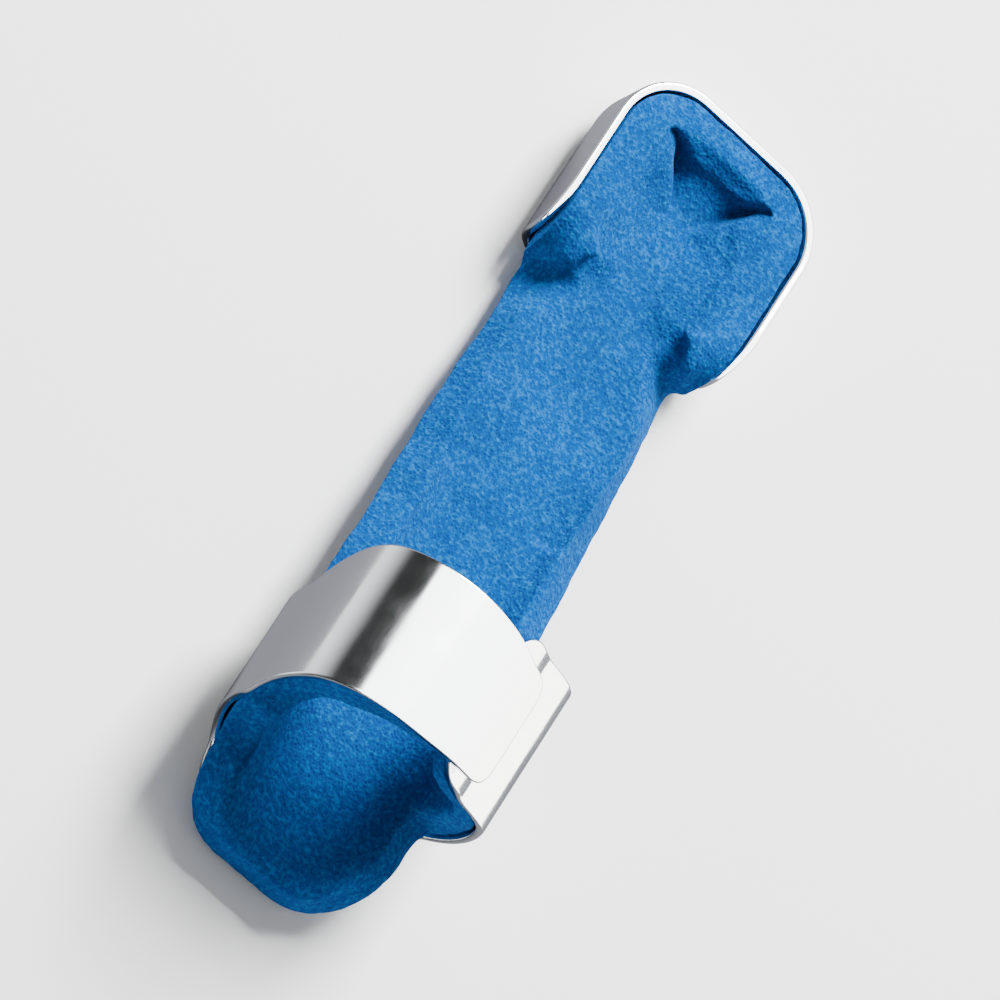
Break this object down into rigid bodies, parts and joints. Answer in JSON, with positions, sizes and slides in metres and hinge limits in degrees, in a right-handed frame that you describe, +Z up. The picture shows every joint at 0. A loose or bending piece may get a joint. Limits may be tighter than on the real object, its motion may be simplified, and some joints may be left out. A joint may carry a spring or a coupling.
{
  "type": "finger splint",
  "caption": "Padded finger splint: bent aluminium blank with wrap-round wings, narrow strip and tip cage, lined with soft foam.",
  "frame": {"origin": "middle of the splint's footprint on the surface it lies on", "axes": "+Y along the splint towards the fingertip cage, +Z up from the palm side to the back of the finger, +X to the right seen from above"},
  "size_m": [0.0284, 0.095, 0.0245],
  "materials": {
    "polished_aluminium": "bright rolled and tumbled aluminium sheet",
    "blue_foam": "open-cell polyurethane foam, fine pores"
  },
  "bodies": {
    "root": {"aluminium_shell": "polished_aluminium", "foam_lining": "blue_foam"}
  },
  "joints": []
}
